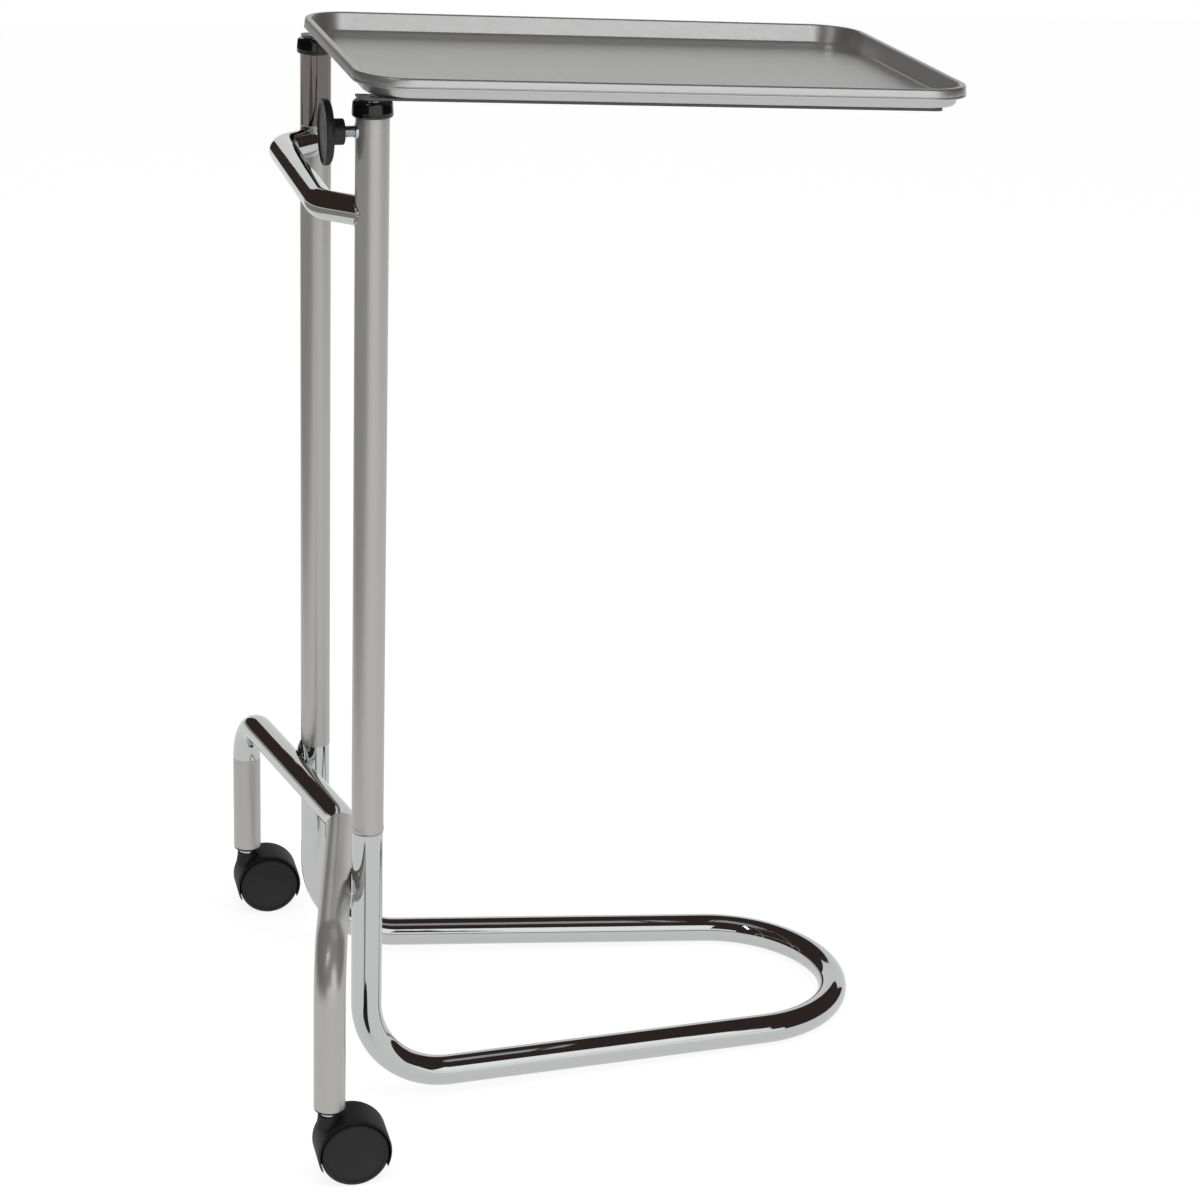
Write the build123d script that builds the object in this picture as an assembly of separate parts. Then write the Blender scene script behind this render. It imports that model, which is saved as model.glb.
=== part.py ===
from build123d import *
import math
import os

os.makedirs("parts", exist_ok=True)

# Main tubes of the stand, in mm. X runs from the posts to the tray's free end, Y across, Z up.
post_r = 14.1
post_bore_r = 12.7
tube_r = 13.8
tube_wall = 1.6
post_y = 152.5
post_foot_z = 274.0
post_top_z = 920.0
riser_top_z = 310.0
weld_gap = 0.2
weld_bead_r = 10.0
weld_lift = 1.5
handle_bead = 2.0
press = 0.0
running = 0.05

# Floor loop: two risers, two converging runs and a round nose.
corner_z = 23.6
corner_bend_r = 82.0
nose_x = 494.0
run_angle = 6.1

# Castor bridge: a shallow V in plan with a vertical leg at each end.
bridge_z = 215.0
leg_x = -52.4
leg_y = 273.0
leg_end_z = 70.0
leg_bend_r = 45.0
apex_bend_r = 60.0

# Push handle between the posts.
handle_drop = 90.0
handle_x = -36.5
handle_y = 116.0
handle_bend_r = 30.0
handle_r = 12.5

# Telescoping tubes with their bushes, glides and plugs.
inner_r = 11.1
inner_wall = 1.2
foot_clear = 10.0
bush_l = 44.0
flange_h = 1.0
glide_drop = 4.0
glide_h = 18.0
plug_depth = 19.0
spigot_r = 6.0

# Post caps.
cap_skirt = 10.5
cap_rise = 3.5
cap_wall = 3.0
cap_step = 0.7
cap_hole_gap = 0.3

# Tray frame and tray, both drooping a little towards the free end.
droop = 1.7
tube_over_cap = 0.3
frame_gap = 0.4
bar_w = 20.0
bar_t = 2.0
frame_back_x = -13.0
frame_front_x = 490.0
cross_x = 120.0
pad_x = (60.0, 480.0)
pad_proud = 0.3
pad_r = 7.0
pad_neck_r = 4.0
tray_gap = 0.3
tray_back_x = -14.0
tray_length = 531.0
tray_width = 350.0
tray_depth = 17.6
tray_sheet = 1.0
tray_corner_r = 36.0
wall_top_in = 5.2
wall_foot_in = 7.4
pan_bend_r = 5.2
lip_h = 9.6
lip_top_r = 2.2
lip_foot_r = 1.9

# Clamp knob on the near post, with its screw, boss and shoe.
clamp_drop = 22.5
screw_r = 4.9
boss_r = 7.0
boss_proud = 0.3
boss_inner_x = -11.7
shoe_t = 2.0
shoe_gap = 0.3
shoe_neck_r = 1.5
shoe_neck_l = 4.0
hub_x = -23.5
hub_l = 9.5
hub_r = 10.75
disc_r = 27.0
disc_t = 8.4
dish = 1.0
screw_end_x = -37.0

# Twin wheel castors.
wheel_r = 30.0
trail = 20.0
hood_r = 32.6
hood_t = 1.6
hood_drop = 25.0
hood_half_w = 20.6
web_half_w = 7.0
wheel_in_y = 7.4
wheel_out_y = 20.4
wheel_dome = 1.6
axle_r = 3.0
axle_half_l = 17.8
stem_r = 5.5
stem_foot_z = 36.0
stem_top_z = 99.0
neck_r = 10.0
neck_top_z = 64.0
collar_r = 9.0
socket_flange_r = 13.5
socket_flange_h = 3.0
socket_top_z = 106.0

# Heights that follow from the top of the posts.
handle_z = post_top_z - handle_drop
clamp_z = post_top_z - clamp_drop
bush_foot_z = post_top_z - bush_l
cap_foot_z = post_top_z - cap_skirt
cap_top_z = post_top_z + cap_rise
inner_foot_z = riser_top_z + foot_clear
inner_top_z = cap_top_z + tube_over_cap
neck_bore_r = post_bore_r - running - tube_wall
frame_z = inner_top_z + frame_gap
cap_r = post_r + cap_wall
cap_top_r = cap_r - cap_step


def biggest(shape):
    return max(shape.solids(), key=lambda s: s.volume)


# A round tube or bar along straight runs joined by tangent arcs.
def bent_bar(points, radii, outer, inner=0.0):
    pts = [Vector(*p) for p in points]
    starts = [pts[0]]
    pieces = []
    here = pts[0]
    for i, radius in enumerate(radii):
        corner = pts[i + 1]
        go_in = (corner - pts[i]).normalized()
        go_out = (pts[i + 2] - corner).normalized()
        turn = math.radians(go_in.get_angle(go_out))
        reach = radius * math.tan(turn / 2)
        arc_start = corner - go_in * reach
        pieces.append(straight_run(here, arc_start, outer, inner))
        pieces.append(arc_run(arc_start, go_in, go_out, radius, turn, outer, inner))
        here = corner + go_out * reach
        starts.append(here)
    pieces.append(straight_run(here, pts[-1], outer, inner))
    body = pieces[0]
    for piece in pieces[1:]:
        body = body + piece
    return biggest(body)


def ring_face(plane, outer, inner):
    face = Circle(outer)
    if inner > 0:
        face = face - Circle(inner)
    return plane * face


def straight_run(start, end, outer, inner):
    span = end - start
    plane = Plane(origin=start, z_dir=span.normalized())
    return extrude(ring_face(plane, outer, inner), amount=span.length, dir=span.normalized())


def arc_run(start, go_in, go_out, radius, turn, outer, inner):
    normal = go_in.cross(go_out).normalized()
    centre = start + normal.cross(go_in).normalized() * radius
    plane = Plane(origin=start, z_dir=go_in)
    axis = Axis(centre, normal)
    return revolve(ring_face(plane, outer, inner), axis, math.degrees(turn))


# Height of a spherical dome above its rim plane at half of the rim radius.
def dome_half(rim_r, rise):
    ball = (rim_r * rim_r + rise * rise) / (2 * rise)
    return math.sqrt(ball * ball - rim_r * rim_r / 4) - ball + rise


def rod(radius, z0, z1, x=0.0, y=0.0):
    return Pos(x, y, (z0 + z1) / 2) * Cylinder(radius, z1 - z0)


def rod_x(radius, x0, x1, y=0.0, z=0.0):
    return Pos((x0 + x1) / 2, y, z) * Rot(0, 90, 0) * Cylinder(radius, abs(x1 - x0))


def rod_y(radius, y0, y1, x=0.0, z=0.0):
    return Pos(x, (y0 + y1) / 2, z) * Rot(90, 0, 0) * Cylinder(radius, abs(y1 - y0))


def box(x0, x1, y0, y1, z0, z1):
    return Pos((x0 + x1) / 2, (y0 + y1) / 2, (z0 + z1) / 2) * Box(x1 - x0, y1 - y0, z1 - z0)


# Floor loop, one bent tube with a reduced neck inside each post's foot.
def floor_loop():
    slope = math.atan((corner_z - tube_r) / nose_x)
    nose_z = tube_r / math.cos(slope)
    tip_x = post_y / math.tan(math.radians(run_angle))
    tip_z = corner_z - (corner_z - nose_z) * tip_x / nose_x
    nose_bend_r = (tip_x - nose_x) / (1 / math.sin(math.radians(run_angle)) - 1)
    points = [
        (0, -post_y, post_foot_z),
        (0, -post_y, corner_z),
        (tip_x, 0, tip_z),
        (0, post_y, corner_z),
        (0, post_y, post_foot_z),
    ]
    radii = [corner_bend_r, nose_bend_r, corner_bend_r]
    loop = bent_bar(points, radii, tube_r, tube_r - tube_wall)
    for side in (-1, 1):
        neck = rod(post_bore_r - running, post_foot_z - tube_wall, riser_top_z, 0, side * post_y)
        loop = loop + (neck - rod(neck_bore_r, 0, riser_top_z + tube_r, 0, side * post_y))
    return biggest(loop)


# Castor bridge, tangent to the risers with a weld bead between.
def bridge_points():
    reach = 2 * tube_r + weld_gap
    run = math.hypot(leg_x, leg_y - post_y)
    sweep_back = math.atan2(-leg_x, leg_y - post_y) - math.asin(reach / run)
    apex_x = leg_x + leg_y * math.tan(sweep_back)
    points = [
        (leg_x, -leg_y, leg_end_z),
        (leg_x, -leg_y, bridge_z),
        (apex_x, 0, bridge_z),
        (leg_x, leg_y, bridge_z),
        (leg_x, leg_y, leg_end_z),
    ]
    return points, sweep_back


def castor_bridge():
    points, sweep_back = bridge_points()
    radii = [leg_bend_r, apex_bend_r, leg_bend_r]
    return bent_bar(points, radii, tube_r, tube_r - tube_wall)


def bridge_weld(side):
    sweep_back = bridge_points()[1]
    way = Vector(-math.cos(sweep_back), side * math.sin(sweep_back) * -1, 0)
    start = Vector(0, side * post_y, bridge_z + weld_lift)
    plane = Plane(origin=start, z_dir=way)
    reach = 2 * tube_r + weld_gap
    bead = extrude(plane * Circle(weld_bead_r), amount=reach, dir=way)
    points = bridge_points()[0]
    bead = bead - rod(tube_r, bridge_z - 2 * weld_bead_r, bridge_z + 2 * weld_bead_r, 0, side * post_y)
    bead = bead - bent_bar(points, [leg_bend_r, apex_bend_r, leg_bend_r], tube_r)
    solids = bead.solids()
    return biggest(Compound(children=solids)) if len(solids) > 1 else solids[0]


# Push handle, coped to the posts.
def handle_bar(outer, inner=0.0):
    points = [
        (0, -post_y, handle_z),
        (handle_x, -handle_y, handle_z),
        (handle_x, handle_y, handle_z),
        (0, post_y, handle_z),
    ]
    return bent_bar(points, [handle_bend_r, handle_bend_r], outer, inner)


def push_handle():
    bar = handle_bar(handle_r, handle_r - tube_wall)
    for side in (-1, 1):
        bar = bar - rod(post_r, handle_z - 2 * handle_r, handle_z + 2 * handle_r, 0, side * post_y)
    return biggest(bar)


def handle_weld(side):
    collar = rod(post_r + 1.2 * handle_bead, handle_z - 2 * handle_r, handle_z + 2 * handle_r, 0, side * post_y)
    bead = collar & handle_bar(handle_r + handle_bead)
    bead = bead - rod(post_r, handle_z - 3 * handle_r, handle_z + 3 * handle_r, 0, side * post_y)
    bead = bead - handle_bar(handle_r)
    return biggest(bead)


# Outer post; the near one is drilled for the clamp.
def outer_post(side, drilled):
    post = rod(post_r, post_foot_z, post_top_z) - rod(post_bore_r, post_foot_z - 1, post_top_z + 1)
    post = Pos(0, side * post_y, 0) * post
    if drilled:
        post = post - rod_x(boss_r, -2 * post_r, 0, side * post_y, clamp_z)
    return biggest(post)


def guide_bush(side, drilled):
    bush = rod(post_bore_r, bush_foot_z, post_top_z)
    bush = bush + rod(post_r, post_top_z, post_top_z + flange_h)
    bush = bush - rod(inner_r + running, bush_foot_z - 1, post_top_z + 2 * flange_h)
    bush = Pos(0, side * post_y, 0) * bush
    if drilled:
        bush = bush - rod_x(boss_r, -2 * post_r, 0, side * post_y, clamp_z)
    return biggest(bush)


# Glossy collar over the post's top end.
def post_cap(side):
    low = cap_foot_z
    high = cap_top_z
    outline = Polyline(
        (post_r, low),
        (cap_r - 0.6, low),
        (cap_r, low + 0.6),
        (cap_r, low + 3.0),
        (cap_top_r, low + 3.8),
        (cap_top_r, high - 2.2),
        (cap_top_r - 0.7, high - 0.65),
        (cap_top_r - 2.2, high),
        (inner_r + cap_hole_gap, high),
        (inner_r + cap_hole_gap, post_top_z + flange_h),
        (post_r, post_top_z + flange_h),
        close=True,
    )
    cap = revolve(Plane.XZ * make_face(outline), Axis.Z, 360)
    return biggest(Pos(0, side * post_y, 0) * cap)


def inner_tube(side):
    tube = rod(inner_r, inner_foot_z, inner_top_z)
    tube = tube - rod(inner_r - inner_wall, inner_foot_z - 1, inner_top_z + 1)
    return biggest(Pos(0, side * post_y, 0) * tube)


def tube_glide(side):
    low = inner_foot_z - glide_drop
    high = low + glide_h
    glide = rod(post_bore_r - running, low, high)
    glide = glide - (rod(inner_r, inner_foot_z, high + 1) - rod(inner_r - inner_wall, low, high + 2))
    glide = glide - rod(4.0, low - 1, high + 1)
    return biggest(Pos(0, side * post_y, 0) * glide)


def droopy(shape):
    return Pos(0, 0, frame_z) * Rot(0, droop, 0) * shape


def tube_plug(side):
    plug = rod(inner_r - inner_wall, inner_top_z - plug_depth, inner_top_z)
    plug = plug + rod(spigot_r, inner_top_z, frame_z + 1.5 * bar_t)
    plug = Pos(0, side * post_y, 0) * plug
    plug = plug - droopy(box(-bar_w, bar_w, side * post_y - bar_w, side * post_y + bar_w, bar_t - 0.3, 4 * bar_t))
    return biggest(plug)


# Flat bar frame under the tray.
def tray_frame():
    half = post_y + bar_w / 2
    inside = post_y - bar_w / 2
    long = frame_front_x - frame_back_x
    plate = Pos((frame_front_x + frame_back_x) / 2, 0, bar_t / 2) * Box(long, 2 * half, bar_t)
    plate = fillet(plate.edges().filter_by(Axis.Z), 8.0)
    plate = plate - box(frame_back_x - 5, cross_x - bar_w / 2, -inside, inside, -1, bar_t + 1)
    plate = plate - box(cross_x + bar_w / 2, frame_front_x - bar_w, -inside, inside, -1, bar_t + 1)
    for x in pad_x:
        for side in (-1, 1):
            plate = plate - rod(pad_neck_r, -1, bar_t + 1, x, side * post_y)
    plate = droopy(plate)
    for side in (-1, 1):
        plate = plate - rod(spigot_r, frame_z - 2 * bar_t, frame_z + 3 * bar_t, 0, side * post_y)
    return biggest(plate)


def rest_pads():
    pads = []
    for x in pad_x:
        for side in (-1, 1):
            pad = rod(pad_neck_r, 0, bar_t, x, side * post_y)
            pad = pad + rod(pad_r, bar_t, bar_t + pad_proud, x, side * post_y)
            pad = pad + rod(pad_r - 1, -1.6, 0, x, side * post_y)
            pads.append(biggest(droopy(pad)))
    return pads


# Tray: a pan with steep walls, a shouldered lip and a rolled edge.
def pan_block(inset_foot, inset_top, corner, foot_z, top_z, bend):
    rise = top_z - foot_z
    angle = math.degrees(math.atan((inset_foot - inset_top) / rise))
    length = tray_length - 2 * inset_foot
    width = tray_width - 2 * inset_foot
    face = Pos(0, 0, foot_z) * RectangleRounded(length, width, corner - inset_foot)
    block = extrude(face, amount=rise, taper=-angle)
    return fillet(block.faces().sort_by(Axis.Z)[0].edges(), bend)


def tray():
    top = tray_depth
    lip_foot = top - lip_h
    rim = extrude(
        Pos(0, 0, lip_foot) * RectangleRounded(tray_length, tray_width, tray_corner_r), amount=lip_h
    )
    rim = fillet(rim.faces().sort_by(Axis.Z)[-1].edges(), lip_top_r)
    rim = fillet(rim.faces().sort_by(Axis.Z)[0].edges(), lip_foot_r)
    under_l = tray_length - 2 * tray_sheet - 1.2
    under_w = tray_width - 2 * tray_sheet - 1.2
    under_corner = tray_corner_r - tray_sheet - 0.6
    under = extrude(
        Pos(0, 0, lip_foot - 1) * RectangleRounded(under_l, under_w, under_corner),
        amount=lip_h + 1 - tray_sheet - 1.0,
    )
    under = fillet(under.faces().sort_by(Axis.Z)[-1].edges(), 1.4)
    outer = pan_block(wall_foot_in, wall_top_in, tray_corner_r, 0, top - 0.4, pan_bend_r)
    slope = (wall_foot_in - wall_top_in) / (top - 0.4)
    foot_in = wall_foot_in + tray_sheet - slope * tray_sheet
    top_in = foot_in - slope * (top + 1 - tray_sheet)
    inner = pan_block(foot_in, top_in, tray_corner_r, tray_sheet, top + 1, pan_bend_r - tray_sheet)
    body = (rim - under) + outer - inner
    mid_x = tray_back_x + tray_length / 2
    return biggest(droopy(Pos(mid_x, 0, bar_t + pad_proud + tray_gap) * body))


# Clamp: boss in the post, screw, knob and the shoe that meets the inner tube.
def clamp_boss():
    boss = rod_x(boss_r, -post_r - boss_proud, boss_inner_x, -post_y, clamp_z)
    return biggest(boss - rod_x(screw_r + running, -3 * post_r, 0, -post_y, clamp_z))


def clamp_shoe():
    face_x = -inner_r - shoe_gap
    shoe = rod_x(screw_r, face_x - shoe_t, face_x, -post_y, clamp_z)
    shoe = shoe + rod_x(shoe_neck_r, face_x - shoe_t - shoe_neck_l, face_x - shoe_t, -post_y, clamp_z)
    return biggest(shoe)


def clamp_screw():
    tip_x = -inner_r - shoe_gap - shoe_t - running
    screw = rod_x(screw_r, screw_end_x, tip_x, -post_y, clamp_z)
    hole = rod_x(shoe_neck_r + running, tip_x - shoe_neck_l - 0.5, tip_x + 1, -post_y, clamp_z)
    return biggest(screw - hole)


def clamp_knob():
    back = hub_x - hub_l
    end = hub_x - hub_l - disc_t
    profile = Polyline(
        (hub_x, 0), (hub_x, hub_r - 0.8), (hub_x - 0.8, hub_r), (back + 0.6, hub_r),
        (back - 0.6, hub_r + 1.6), (back - 1.4, disc_r - 3.0), (back - 2.2, disc_r - 0.9),
        (back - 3.8, disc_r), (end + 1.2, disc_r), (end + 0.2, disc_r - 0.8), (end, disc_r - 1.4),
        (end + dish, disc_r - 3.2), (end + dish, 0), close=True,
    )
    knob = revolve(make_face(profile), Axis.X, 360)
    knob = Pos(0, -post_y, clamp_z) * knob
    return biggest(knob - rod_x(screw_r, screw_end_x, 0, -post_y, clamp_z))


# Castor pieces, around a stem axis at the origin and the wheel centre at x = trail.
def castor_stem():
    stem = rod(stem_r, stem_foot_z, stem_top_z) + rod(collar_r, neck_top_z, leg_end_z - 3.1)
    return chamfer(stem.edges().sort_by(Axis.Z)[-1], 1.2)


def castor_socket():
    socket = rod(tube_r - tube_wall, leg_end_z, socket_top_z)
    flange = rod(socket_flange_r, leg_end_z - socket_flange_h, leg_end_z)
    flange = fillet(flange.edges().sort_by(Axis.Z)[0], 0.8)
    socket = socket + flange
    return socket - rod(stem_r + running, leg_end_z - 10, stem_top_z + 1)


def castor_hood():
    low = wheel_r - hood_r * math.sin(math.radians(hood_drop))
    shell = rod_y(hood_r, -hood_half_w, hood_half_w, trail, wheel_r)
    shell = fillet(shell.edges().filter_by(GeomType.CIRCLE), 1.2)
    neck = rod(neck_r, wheel_r + 10, neck_top_z)
    neck = chamfer(neck.edges().sort_by(Axis.Z)[-1], 0.8)
    body = shell + neck
    for side in (-1, 1):
        hollow = rod_y(hood_r - hood_t, side * web_half_w, side * (hood_half_w + 5), trail, wheel_r)
        body = body - hollow
    body = body - box(trail - 2 * hood_r, trail + 2 * hood_r, -2 * hood_half_w, 2 * hood_half_w, low - 2 * hood_r, low)
    body = body - rod(stem_r, stem_foot_z, neck_top_z + 5)
    return body - rod_y(axle_r, -2 * hood_half_w, 2 * hood_half_w, trail, wheel_r)


def castor_axle():
    axle = rod_y(axle_r, -axle_half_l, axle_half_l, trail, wheel_r)
    return chamfer(axle.edges().filter_by(GeomType.CIRCLE), 0.5)


def castor_wheel(side):
    start = wheel_in_y
    end = wheel_out_y
    line = Polyline(
        (axle_r + running, start), (6.5, start), (7.5, start + 4), (22.5, start + 4),
        (23.5, start), (wheel_r - 1.4, start), (wheel_r, start + 1.4),
        (wheel_r, end - 3.0), (wheel_r - 0.9, end - 0.9), (wheel_r - 3.0, end),
        (wheel_r - 4.2, end), (wheel_r - 5.0, end - 0.8), (wheel_r - 6.2, end - 0.8),
    )
    rim_r = wheel_r - 6.2
    half = end - 0.8 + dome_half(rim_r, wheel_dome + 0.8)
    dome = ThreePointArc((rim_r, end - 0.8), (rim_r / 2, half), (0, end + wheel_dome))
    bore = Polyline(
        (0, end + wheel_dome), (0, axle_half_l + 0.5), (axle_r + running, axle_half_l + 0.5),
        (axle_r + running, start),
    )
    face = make_face(line + dome + bore)
    wheel = revolve(face, Axis.Y, 360)
    if side < 0:
        wheel = Rot(0, 0, 180) * wheel
    return Pos(trail, 0, wheel_r) * wheel


pieces = {
    "floor_loop": [floor_loop()],
    "outer_post_near": [outer_post(-1, True)],
    "outer_post_far": [outer_post(1, False)],
    "guide_bush_near": [guide_bush(-1, True)],
    "guide_bush_far": [guide_bush(1, False)],
    "castor_bridge": [castor_bridge()],
    "bridge_welds": [bridge_weld(-1), bridge_weld(1)],
    "push_handle": [push_handle()],
    "handle_welds": [handle_weld(-1), handle_weld(1)],
    "tray_frame": [tray_frame()],
    "rest_pads": rest_pads(),
    "tray": [tray()],
    "clamp_boss": [clamp_boss()],
    "clamp_shoe": [clamp_shoe()],
    "clamp_screw": [clamp_screw()],
    "clamp_knob": [clamp_knob()],
}
for name, side in (("near", -1), ("far", 1)):
    place = Pos(leg_x, side * leg_y, 0)
    pieces["post_cap_" + name] = [post_cap(side)]
    pieces["inner_tube_" + name] = [inner_tube(side)]
    pieces["tube_glide_" + name] = [tube_glide(side)]
    pieces["tube_plug_" + name] = [tube_plug(side)]
    pieces["castor_socket_" + name] = [biggest(place * castor_socket())]
    pieces["castor_stem_" + name] = [biggest(place * castor_stem())]
    pieces["castor_hood_" + name] = [biggest(place * castor_hood())]
    pieces["castor_axle_" + name] = [biggest(place * castor_axle())]
    pieces["castor_wheel_" + name + "_left"] = [biggest(place * castor_wheel(-1))]
    pieces["castor_wheel_" + name + "_right"] = [biggest(place * castor_wheel(1))]

# The middle of the whole object's box comes to x = 0.
back_x = min(solid.bounding_box().min.X for group in pieces.values() for solid in group)
front_x = max(solid.bounding_box().max.X for group in pieces.values() for solid in group)
middle_x = (back_x + front_x) / 2
print("posts at x =", round(-middle_x, 4), "middle was", round(middle_x, 4))
print("sweep back of the bridge", round(math.degrees(bridge_points()[1]), 4), bridge_points()[0][2])

for name, solids in pieces.items():
    moved = [Pos(-middle_x, 0, 0) * solid for solid in solids]
    shape = moved[0] if len(moved) == 1 else Compound(children=moved)
    export_step(shape, "parts/" + name + ".step")
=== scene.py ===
import math

import bmesh
import bpy
from bpy.props import FloatProperty, FloatVectorProperty, IntProperty, PointerProperty
from mathutils import Matrix, Vector


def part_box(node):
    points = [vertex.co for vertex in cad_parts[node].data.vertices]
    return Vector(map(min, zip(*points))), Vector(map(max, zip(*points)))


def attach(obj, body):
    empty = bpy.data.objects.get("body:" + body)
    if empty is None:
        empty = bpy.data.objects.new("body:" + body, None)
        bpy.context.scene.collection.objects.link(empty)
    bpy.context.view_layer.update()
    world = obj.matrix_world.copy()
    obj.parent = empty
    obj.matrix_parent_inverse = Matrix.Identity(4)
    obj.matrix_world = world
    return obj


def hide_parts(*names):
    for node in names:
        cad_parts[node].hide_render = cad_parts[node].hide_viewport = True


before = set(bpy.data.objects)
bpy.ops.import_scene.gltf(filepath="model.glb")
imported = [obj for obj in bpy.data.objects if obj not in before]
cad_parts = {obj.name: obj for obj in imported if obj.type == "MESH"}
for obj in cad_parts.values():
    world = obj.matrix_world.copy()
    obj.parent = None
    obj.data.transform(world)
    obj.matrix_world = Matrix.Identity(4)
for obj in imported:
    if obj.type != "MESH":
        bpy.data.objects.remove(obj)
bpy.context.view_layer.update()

bl_info = {
    "name": "Mayo instrument stand",
    "version": (1, 0, 0),
    "blender": (4, 5, 0),
    "location": "3D View > Sidebar > Mayo stand",
    "description": "Dresses the packed mayo instrument stand with finished pieces and materials",
    "category": "Add Mesh",
}

SIDES = (("near", -1.0), ("far", 1.0))


def centre(node):
    low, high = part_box(node)
    return (low + high) / 2


# The posts stand at x = POST_X and y = +-POST_Y; the castor stems at LEG_X and +-LEG_Y.
POST_X = centre("outer_post_near").x
POST_Y = -centre("outer_post_near").y
LEG_X = centre("castor_stem_near").x
LEG_Y = -centre("castor_stem_near").y
DROOP = math.radians(1.7)
TRAY_HINGE_Z = 0.9242
TRAY_TURN = Matrix.Rotation(DROOP, 4, "Y")

# The floor loop: two risers, and straight runs that close in on each other towards a round nose.
HALF_SPAN = 0.1525
CORNER_Z = 0.0236
NOSE_Z = 0.0138
LOOP_RUN = 0.494
LOOP_TAPER = math.radians(6.1)
LOOP_BEND = 0.082
RISER_TOP_Z = 0.2739
NECK_RADIUS, NECK_FOOT_Z, NECK_TOP_Z = 0.0126, 0.2736, 0.310

# The castor bridge, which passes behind the risers at BRIDGE_GAP between centre lines.
BRIDGE_Z = 0.215
BRIDGE_GAP = 0.0278
LEG_FOOT_Z = 0.070
LEG_BEND, APEX_BEND = 0.045, 0.060

# The push handle.
HANDLE_Z = 0.830
HANDLE_OUT = 0.0365
HANDLE_HALF = 0.116
HANDLE_BEND = 0.030

# The posts and the tubes in them.
POST_WALL = 0.0014
FAR_SKIRT_Z = 0.2318
# Above this height the far post is coloured a darker chrome: a painted dark reflection.
PAINTED_REFLECTION_FOOT_Z = 0.8450
INNER_RADIUS, INNER_BORE = 0.0111, 0.0099

# The castors: how far the wheels' axis trails the stem, and its height.
HUB_TRAIL, HUB_Z = 0.020, 0.030

BEND_STEP = math.radians(3.0)
ROUND_STEP = math.radians(11)
FULL_TURN = 2 * math.pi
WHITE = (1.0, 1.0, 1.0, 1.0)


# Sizes and colours that a user would change

def length(name, description, default):
    return FloatProperty(name=name, description=description, default=default, unit="LENGTH", precision=4)


def colour(name, description, code):
    return FloatVectorProperty(
        name=name, description=description, default=from_hex(code), size=4, subtype="COLOR", min=0.0, max=1.0
    )


def from_hex(code):
    parts = [int(code[i:i + 2], 16) / 255.0 for i in (1, 3, 5)]
    return tuple(p / 12.92 if p <= 0.04045 else ((p + 0.055) / 1.055) ** 2.4 for p in parts) + (1.0,)


class MayoTubeSettings(bpy.types.PropertyGroup):
    tube_radius: length("Tube radius", "Outside radius of the floor loop and the bridge", 0.0138)
    handle_radius: length("Handle radius", "Outside radius of the push handle", 0.0125)
    post_radius: length("Post radius", "Outside radius of the outer posts", 0.0141)
    seam_swell: length("Seam swell", "How far the weld seam at a post's foot stands proud", 0.0004)
    sides: IntProperty(name="Sides", description="Faces round each tube", default=64, min=24, max=128)
    chrome: colour("Chrome", "Colour of the chrome plating", "#c6c8c8")
    satin: colour("Satin chrome", "Colour of the posts' satin plating", "#c4c3c0")


class MayoTraySettings(bpy.types.PropertyGroup):
    tray_length: length("Tray length", "Length over the rim", 0.531)
    tray_width: length("Tray width", "Width over the rim", 0.350)
    corner_radius: length("Corner radius", "Plan radius of the rim's corners", 0.044)
    steel: colour("Stainless steel", "Colour of the tray's stainless sheet", "#d4d5d4")


class MayoPlasticSettings(bpy.types.PropertyGroup):
    cap_black: colour("Cap black", "Colour of the glossy post caps", "#0b0b0c")
    knob_black: colour("Knob black", "Colour of the clamp knob", "#101011")
    castor_black: colour("Castor black", "Colour of the castors' nylon", "#17171a")


# Meshes

def piece(name, bm, body, smooth_angle=40.0):
    """Turns a bmesh into an object at the origin that rides on a body."""
    mesh = bpy.data.meshes.new(name)
    bm.to_mesh(mesh)
    bm.free()
    obj = bpy.data.objects.new(name, mesh)
    bpy.context.scene.collection.objects.link(obj)
    mesh.shade_smooth()
    mesh.set_sharp_from_angle(angle=math.radians(smooth_angle))
    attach(obj, body)
    return obj


def outward(bm):
    bmesh.ops.remove_doubles(bm, verts=bm.verts, dist=1e-6)
    bmesh.ops.recalc_face_normals(bm, faces=bm.faces)


def pull(bm, edges, offset):
    """Extrudes open edges along an offset and returns the moved edges."""
    got = bmesh.ops.extrude_edge_only(bm, edges=edges)["geom"]
    verts = [g for g in got if isinstance(g, bmesh.types.BMVert)]
    bmesh.ops.translate(bm, verts=verts, vec=offset)
    return [g for g in got if isinstance(g, bmesh.types.BMEdge) and all(v in verts for v in g.verts)]


def edges_in(geom):
    return [g for g in geom if isinstance(g, bmesh.types.BMEdge)]


def cap_ends(bm):
    bmesh.ops.holes_fill(bm, edges=[e for e in bm.edges if e.is_boundary], sides=0)


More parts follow.
